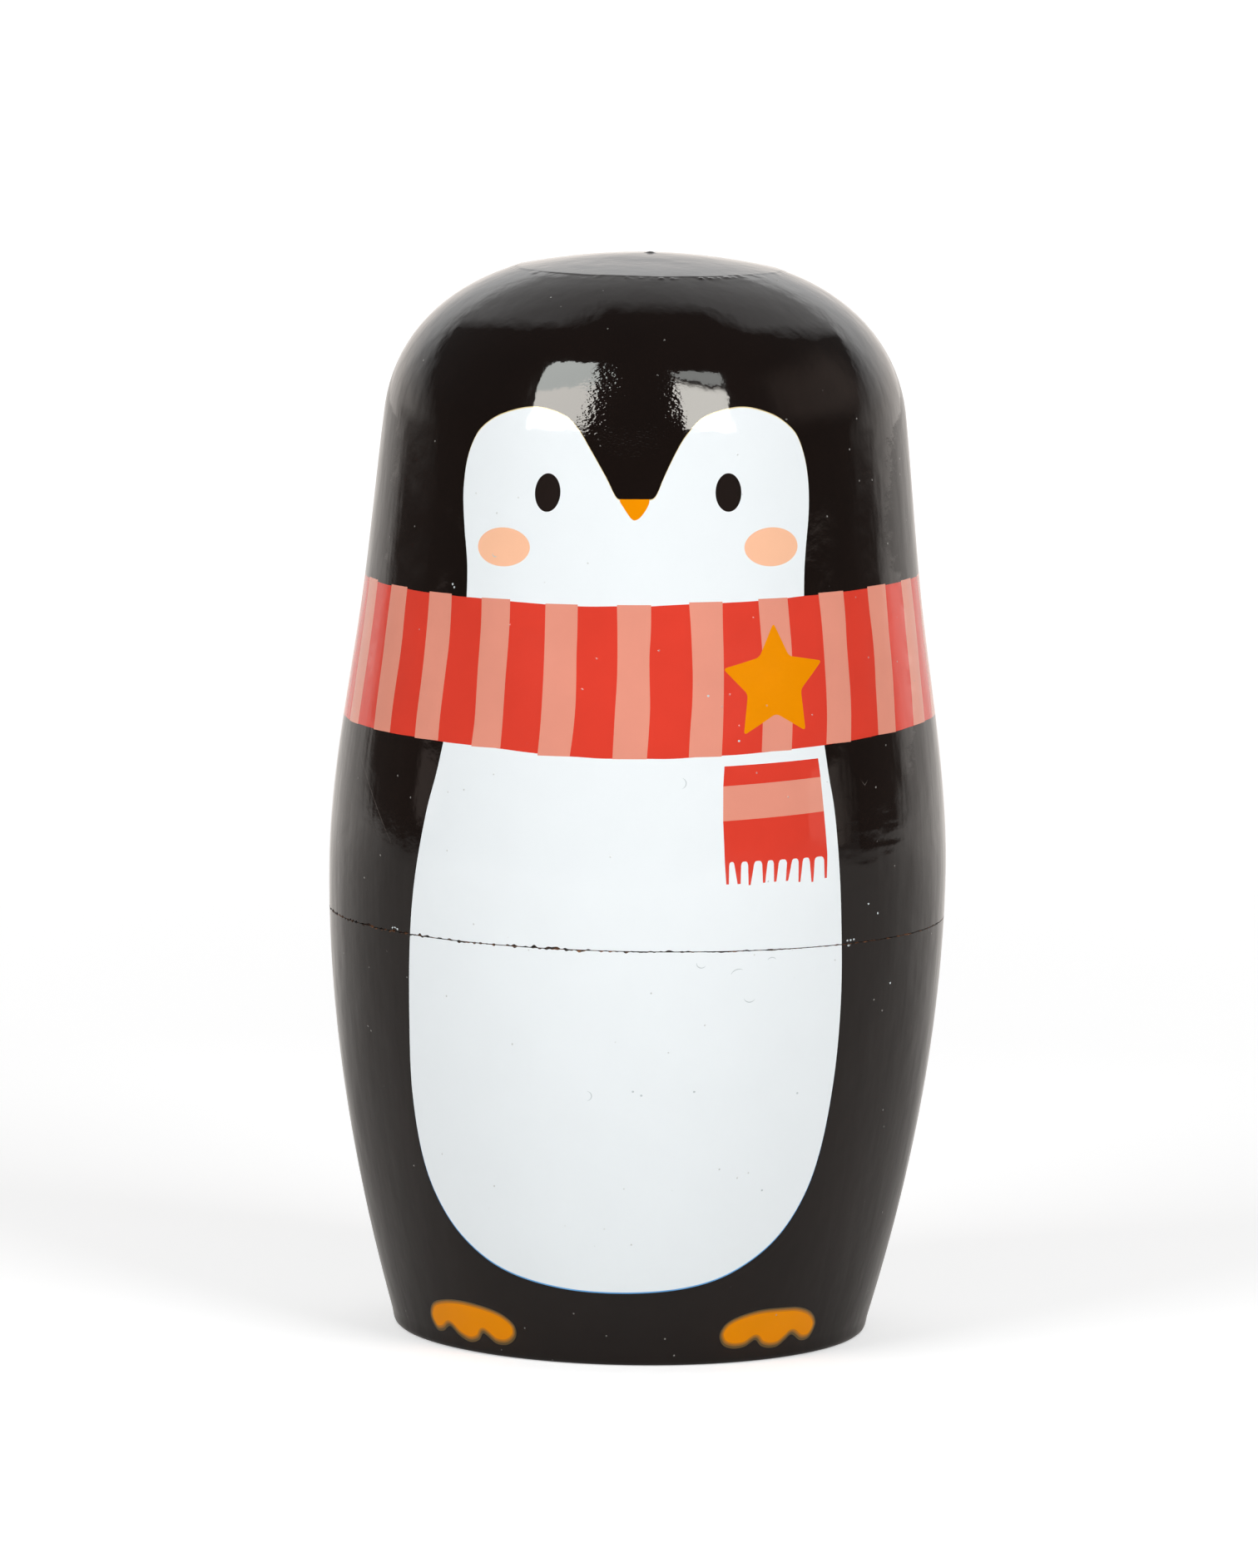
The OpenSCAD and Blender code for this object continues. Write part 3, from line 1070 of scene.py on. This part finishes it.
# Broken lacquer and bare wood in the seam's groove
chippedEdge = {
    "dark": toLinear(22, 14, 10),
    "light": toLinear(122, 76, 42),
    "grit": {"Scale": 1900.0, "Detail": 3.0},
    "gritRange": (0.48, 0.7),
    "gritHeight": 0.04,
    "roughness": 0.6,
}


def rawEdge(tree, place):
    grit = addNode(tree, "TexNoise", {"Vector": place, **chippedEdge["grit"]})
    share = ranged(tree, grit, chippedEdge["gritRange"])
    return {
        "Base Color": mixColours(tree, share, chippedEdge["dark"], chippedEdge["light"]),
        "Roughness": chippedEdge["roughness"],
        "Normal": bumped(tree, grit, chippedEdge["gritHeight"]),
    }


finishes = {name: newFinish("film_" + name, printedFilm, *ink) for name, ink in inks.items()}
finishes["rawEdge"] = newFinish("chipped_edge", rawEdge)
finishes["bareWood"] = newFinish("bare_limewood", bareWood)
print("finishes made:", len(finishes))

for doll, inner in zip(dolls, dolls[1:] + [None]):
    if doll["top"]:
        makePiece(baseHalf(doll, inner), doll["base"], finishes)
        makePiece(topHalf(doll, inner), doll["top"], finishes)
    else:
        makePiece(solidDoll(doll), doll["base"], finishes)
    print("doll turned and printed:", doll["base"])


# Studio: pale floor, white surround, soft lamps, and white and dark boards that the gloss mirrors
plainWhite = (1, 1, 1, 1)
mirrorTint = (1.0, 0.94, 0.89, 1.0)  # the gloss mirrors a warm room low down

floorLook = {
    "size": 12.0,
    "colour": (0.8, 0.8, 0.8, 1.0),
    "mirrored": (0.72, 0.69, 0.66, 1.0),  # the gloss mirrors a darker floor
    "lift": (0.44, 0.85),  # what the camera sees the floor lighter by, near and far
    "liftFrom": (0.2, 0.9),
    "glow": (0.0, 0.62),  # what the gloss mirrors, brighter towards the wall behind
    "glowFrom": (0.06, 0.46),
}


def addFloor():
    half = floorLook["size"] / 2
    mesh = bpy.data.meshes.new("floor")
    corners = [(-half, -half, 0), (half, -half, 0), (half, half, 0), (-half, half, 0)]
    mesh.from_pydata(corners, [], [(0, 1, 2, 3)])
    floor = addObject("floor", mesh)
    material, tree = newMaterial("pale_floor")
    rays = addNode(tree, "LightPath", {}, None)
    mirrored = maths(tree, "MAXIMUM", rays["Is Glossy Ray"], rays["Is Transmission Ray"])
    spot = addNode(tree, "TexCoord", {}, "Object")
    away = addNode(tree, "VectorMath", {0: spot}, "Value", operation="LENGTH")
    lift = ranged(tree, away, floorLook["liftFrom"], floorLook["lift"])
    behind = addNode(tree, "SeparateXYZ", {"Vector": spot}, "Y")
    faint = ranged(tree, behind, floorLook["glowFrom"], floorLook["glow"])
    seen = maths(tree, "MULTIPLY", rays["Is Camera Ray"], lift)
    glow = maths(tree, "MULTIPLY_ADD", mirrored, faint, seen)
    colour = mixColours(tree, mirrored, plainWhite, mirrorTint)
    white = addNode(tree, "Emission", {"Color": colour, "Strength": glow})
    pale = mixColours(tree, mirrored, floorLook["colour"], floorLook["mirrored"])
    matt = addNode(tree, "BsdfDiffuse", {"Color": pale})
    showShader(tree, addNode(tree, "AddShader", {0: white, 1: matt}))
    mesh.materials.append(material)


# White behind and overhead, dim in front; the ranges are parts of a direction
surround = {
    "low": 1.14,  # white wall behind, with a brighter band across it
    "band": 1.36,
    "high": 0.74,
    "bandFrom": (0.32, 0.44),  # heights of the band's two edges
    "highFrom": (0.46, 0.56),
    "wide": 0.35,  # brighter out to the sides
    "right": 0.12,  # and more so on the right
    "dim": 0.12,
    "lean": (0.0, 0.675),  # the white reaches further forward overhead
    "leanFrom": (0.5, 1.0),
    "start": (0.13, 0.65),  # where it starts, at the horizon and overhead
    "full": (0.8, 0.77),  # and where it is full
    "rise": (0.0, 0.5),
    "notch": (0.03, 0.18, 0.4, 0.2),  # dark notch overhead: its middle, half widths and depth
    "notchFrom": (0.82, 0.9),
    "warmFrom": (0.1, 0.35),
}


def addWorld():
    s = surround
    world = bpy.data.worlds.new("studio")
    bpy.context.scene.world = world
    tree = emptyTree(world)
    way = addNode(tree, "TexCoord", {}, "Generated")
    x, y, z = addNode(tree, "SeparateXYZ", {"Vector": way}, None)
    back = maths(tree, "ADD", y, ranged(tree, z, s["leanFrom"], s["lean"]))
    middle, near, far, depth = s["notch"]
    aside = maths(tree, "ABSOLUTE", maths(tree, "SUBTRACT", x, middle))
    notch = ranged(tree, aside, (near, far), (depth, 0.0))
    notch = maths(tree, "MULTIPLY", notch, ranged(tree, z, s["notchFrom"]))
    back = maths(tree, "SUBTRACT", back, notch)
    start = ranged(tree, z, s["rise"], s["start"])
    full = ranged(tree, z, s["rise"], s["full"])
    low = ranged(tree, z, s["bandFrom"], (s["low"], s["band"]))
    white = ranged(tree, z, s["highFrom"], (low, s["high"]))
    white = maths(tree, "MULTIPLY_ADD", maths(tree, "ABSOLUTE", x), s["wide"], white)
    white = maths(tree, "MULTIPLY_ADD", x, s["right"], white)
    level = ranged(tree, back, (start, full), (s["dim"], white))
    rays = addNode(tree, "LightPath", {}, None)
    strength = maths(tree, "MAXIMUM", level, rays["Is Camera Ray"])
    warm = maths(tree, "MULTIPLY", rays["Is Glossy Ray"], ranged(tree, z, s["warmFrom"], (1.0, 0.0)))
    colour = mixColours(tree, warm, plainWhite, mirrorTint)
    showShader(tree, addNode(tree, "Background", {"Color": colour, "Strength": strength}), "World")


def towards(azimuth, elevation, distance, middle=(0, 0, 0.09)):
    # a place round the doll: 0 is in front, plus is to the right
    a, e = math.radians(azimuth), math.radians(elevation)
    way = Vector((math.sin(a) * math.cos(e), -math.cos(a) * math.cos(e), math.sin(e)))
    return Vector(middle) + way * distance, way


lamps = {
    "left_lamp": {"azimuth": -48, "power": 4.75},
    "right_lamp": {"azimuth": 47, "power": 5.1},
}
lampPlace = {"elevation": 25, "distance": 0.9}
lampSize = (0.5, 0.6)

# Boards that show in the gloss and light nothing: corners as azimuth and elevation, the light they send,
# the share of each side (left, right, bottom, top) over which they fade out, and how much nearer they are
boards = {
    "left_box_low": ([(-50, 9.5), (-26.8, 10.5), (-25.4, 41), (-51.3, 30)], (17.6, 17.0, 15.9)),
    "left_box_high": ([(-51.3, 30), (-25.4, 41), (-28.4, 54.5), (-55.5, 51)], (12.6, 13.2, 12.7)),
    "right_box_low": ([(20.5, 10.5), (41, 9.5), (41, 37), (16.5, 46.5)], (19, 18.5, 17.2), (0, 0, 0, 0.16)),
    "right_box_high": ([(16.5, 48), (41, 38), (45, 48.5), (15.5, 51)], (6.0, 6.2, 6.0)),
    "left_flag": ([(-122, -7.8), (-76, -7.8), (-76, 5), (-149, 5)], (0.14, 0.12, 0.11),
                  (0.3, 0, 0.14, 0.45)),
    "right_flag": ([(89, -7.8), (123, -7.8), (123, 5), (89, 5)], (0.14, 0.12, 0.11), (0, 0.35, 0.14, 0.45)),
    "left_card": ([(-91, -5), (-76, -5), (-76, 1), (-91, 1)], (0.68, 0.56, 0.51),
                  (0.3, 0, 0.15, 0.2), 0.01),
    "right_card": ([(66, -5.5), (89, -5.5), (89, 2), (66, 2)], (0.9, 0.78, 0.7), (0, 0.6, 0.15, 0.2)),
    "right_wall": ([(52, 6), (126, 6), (126, 48), (52, 48)], (0.48, 0.4, 0.36), (0.3, 0.3, 0.3, 0.5)),
}
boardDistance = 0.5
boardSteps = 16


def addLamps():
    for name, lamp in lamps.items():
        data = bpy.data.lights.new(name, "AREA")
        data.shape = "RECTANGLE"
        data.size, data.size_y = lampSize
        data.energy = lamp["power"]
        made = addObject(name, data)
        made.location, way = towards(lamp["azimuth"], **lampPlace)
        made.rotation_euler = (-way).to_track_quat("-Z", "Y").to_euler()
        made.visible_glossy = False


def eased(share, width):
    t = min(1.0, share / width) if width else 1.0
    return t * t * (3 - 2 * t)


def addBoard(name, corners, light, fade=(0, 0, 0, 0), nearer=0):
    corners = np.array(corners, float)
    left, right, bottom, top = fade
    spots, shades = [], []
    for v in np.linspace(0, 1, boardSteps + 1):
        for u in np.linspace(0, 1, boardSteps + 1):
            azimuth, elevation = between((between(corners[:2], u), between(corners[:1:-1], u)), v)
            spots.append(towards(azimuth, elevation, boardDistance - nearer)[0])
            shades.append(eased(u, left) * eased(1 - u, right) * eased(v, bottom) * eased(1 - v, top))
    mesh = bpy.data.meshes.new(name)
    mesh.from_pydata(spots, [], gridFaces(boardSteps + 1, boardSteps + 1))
    mesh.attributes.new("shade", "FLOAT", "POINT").data.foreach_set("value", shades)
    made = addObject(name, mesh)
    material, tree = newMaterial(name)
    strength = max(light)
    glow = addNode(tree, "Emission", {"Color": [c / strength for c in light] + [1.0], "Strength": strength})
    clear = addNode(tree, "BsdfTransparent", {})
    shade = addNode(tree, "Attribute", {}, "Fac", attribute_name="shade")
    showShader(tree, addNode(tree, "MixShader", {0: shade, 1: clear, 2: glow}))
    mesh.materials.append(material)
    for rays in ("camera", "diffuse", "shadow", "transmission"):
        setattr(made, "visible_" + rays, False)


camera = {
    "place": (-1.01, -899.3, 167.36),  # millimetres
    "down": 7.073,
    "roll": 0.982,
    "turn": 1.4,  # the doll stood turned a little away
    "lens": 203.8,
    "clip": (0.05, 50),
}


def turned(degrees, axis):
    return Matrix.Rotation(math.radians(degrees), 4, axis)


def addCamera():
    data = bpy.data.cameras.new("camera")
    data.lens = camera["lens"]
    data.clip_start, data.clip_end = camera["clip"]
    made = addObject("camera", data)
    place = Matrix.Translation(Vector(camera["place"]) * mm)
    tip = turned(90 - camera["down"], "X")
    made.matrix_world = turned(camera["turn"], "Z") @ place @ tip @ turned(camera["roll"], "Z")
    bpy.context.scene.camera = made


addFloor()
addWorld()
addLamps()
for name, board in boards.items():
    addBoard(name, *board)
addCamera()
bpy.context.scene.view_settings.view_transform = "Standard"
print("studio set up")
